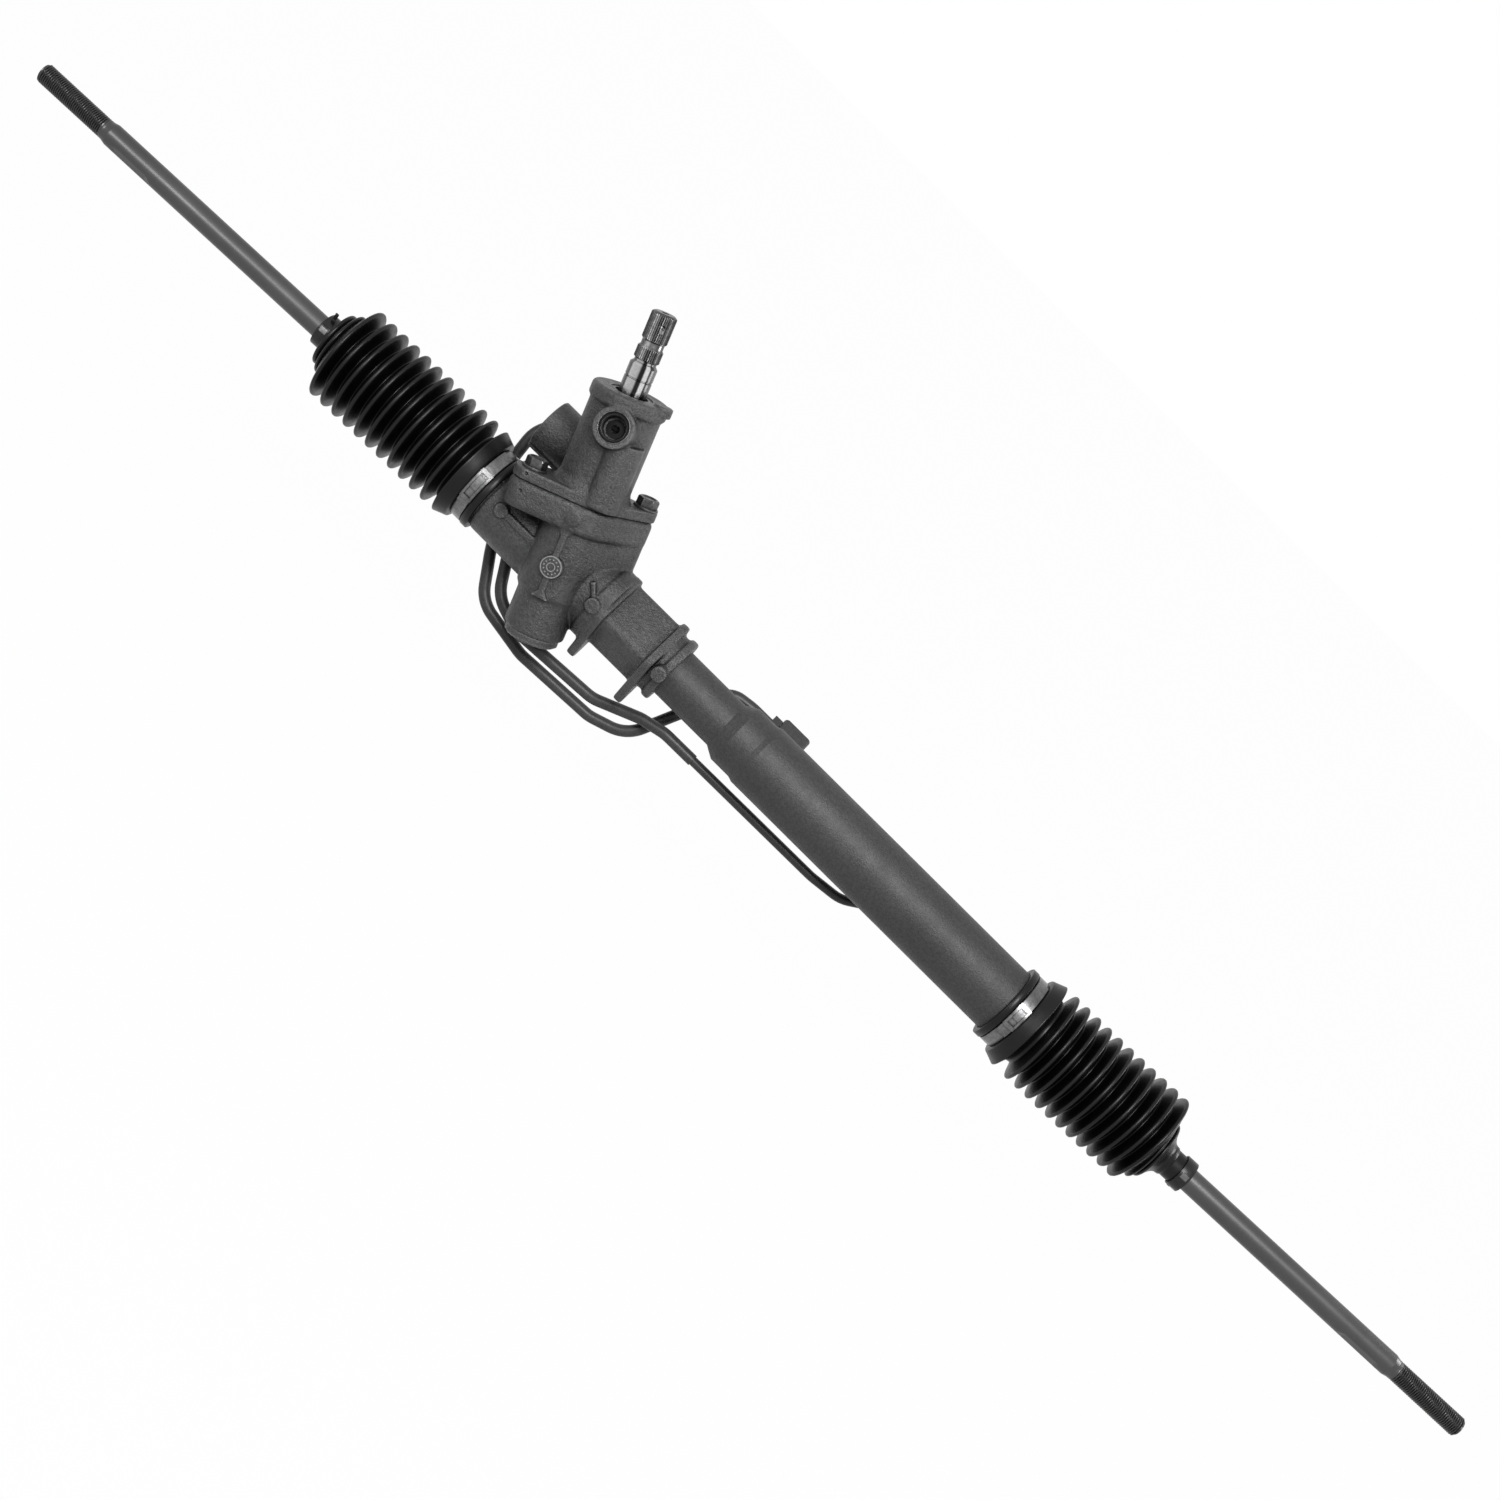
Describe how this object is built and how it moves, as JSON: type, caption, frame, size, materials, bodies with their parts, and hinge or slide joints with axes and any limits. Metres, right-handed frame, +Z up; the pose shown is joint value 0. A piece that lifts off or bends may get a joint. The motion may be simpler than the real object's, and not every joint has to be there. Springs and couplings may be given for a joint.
{
  "type": "power steering rack",
  "caption": "Hydraulic rack-and-pinion steering gear with leaning valve tower, square saddle, power cylinder, bellows boots and two jointed tie rods.",
  "frame": {"origin": "middle of the saddle block, on the rack's axis", "axes": "+X along the rack towards the power cylinder, +Z up in the plane of the leaning pinion, -Y towards the pinion's side"},
  "size_m": [1.247, 0.1037, 0.2378],
  "materials": {
    "cast_aluminium_painted": "satin grey paint on a sand-textured casting",
    "painted_steel": "satin grey paint",
    "painted_tube": "satin dark grey paint on steel tube",
    "bright_steel": "ground and machined steel",
    "zinc_steel": "bright zinc plate",
    "black_spring_steel": "oiled black spring steel",
    "bearing_steel": "ground bearing steel",
    "boot_rubber": "semi-gloss black rubber",
    "seal_rubber": "matte black nitrile",
    "slide_plastic": "natural bearing plastic",
    "machined_aluminium": "machined"
  },
  "bodies": {
    "housing": {"cylinder_end_stopper": "machined_aluminium", "cylinder_tube": "painted_steel", "far_line": "painted_tube", "far_line_sleeve": "painted_tube", "flare_nuts": "painted_tube", "gear_housing": "cast_aluminium_painted", "guide_adjuster": "machined_aluminium", "guide_locknut": "cast_aluminium_painted", "guide_spring": "black_spring_steel", "inner_rack_seal": "seal_rubber", "input_shaft_bearing": "bearing_steel", "input_shaft_seal": "seal_rubber", "left_boot": "boot_rubber", "left_boot_band": "zinc_steel", "near_line": "painted_tube", "outer_rack_seal": "seal_rubber", "pinion_end_cap": "cast_aluminium_painted", "pinion_lower_bearing": "bearing_steel", "pinion_seal": "seal_rubber", "pinion_upper_bearing": "bearing_steel", "pressure_port_seat": "machined_aluminium", "rack_bushing": "slide_plastic", "rack_guide": "machined_aluminium", "rack_guide_liner": "slide_plastic", "right_boot": "boot_rubber", "right_boot_band": "zinc_steel", "seal_retaining_ring": "black_spring_steel", "stopper_ring": "black_spring_steel", "valve_housing": "cast_aluminium_painted", "valve_housing_bolts": "zinc_steel"},
    "rack": {"rack_bar": "bright_steel", "piston": "machined_aluminium", "piston_ring": "slide_plastic", "piston_clips": "black_spring_steel", "left_socket": "bright_steel", "right_socket": "bright_steel", "left_lock_washer": "bright_steel", "right_lock_washer": "bright_steel"},
    "pinion": {"pinion_gear": "bright_steel", "valve_sleeve": "machined_aluminium", "sleeve_rings": "slide_plastic", "torsion_bar": "bright_steel", "torsion_pin_lower": "bright_steel"},
    "input": {"input_shaft": "bright_steel", "torsion_pin_upper": "bright_steel"},
    "left_seat": {"left_ball_seat": "slide_plastic"},
    "left_rod": {"left_tie_rod": "painted_steel", "left_cuff_clip": "black_spring_steel"},
    "right_seat": {"right_ball_seat": "slide_plastic"},
    "right_rod": {"right_tie_rod": "painted_steel", "right_cuff_clip": "zinc_steel"}
  },
  "joints": [
    {"name": "rack_slide", "type": "slide", "parent": "housing", "child": "rack", "axis": [1, 0, 0], "range_m": [-0.068, 0.068], "deforming": ["left_boot", "right_boot"]},
    {"name": "pinion_turn", "type": "hinge", "parent": "housing", "child": "pinion", "pos_m": [-0.0617, -0.01374, 0], "axis": [-0.3355, 0, 0.9421], "range_deg": [-543, 543]},
    {"name": "input_twist", "type": "hinge", "parent": "pinion", "child": "input", "pos_m": [-0.0617, -0.01374, 0], "axis": [-0.3355, 0, 0.9421], "range_deg": [-4, 4], "stiffness_Nm_per_rad": 60},
    {"name": "left_ball_swing", "type": "hinge", "parent": "rack", "child": "left_seat", "pos_m": [-0.228, 0, 0], "axis": [0, 0, 1], "range_deg": [-18, 18]},
    {"name": "left_ball_lift", "type": "hinge", "parent": "left_seat", "child": "left_rod", "pos_m": [-0.228, 0, 0], "axis": [0, 1, 0], "range_deg": [-15.75, 20.25]},
    {"name": "right_ball_swing", "type": "hinge", "parent": "rack", "child": "right_seat", "pos_m": [0.443, 0, 0], "axis": [0, 0, 1], "range_deg": [-18, 18]},
    {"name": "right_ball_lift", "type": "hinge", "parent": "right_seat", "child": "right_rod", "pos_m": [0.443, 0, 0], "axis": [0, 1, 0], "range_deg": [-15.75, 20.25]}
  ],
  "couplings": [
    {"joint": "pinion_turn", "follows": "rack_slide", "rad_per_m": -138.89}
  ]
}
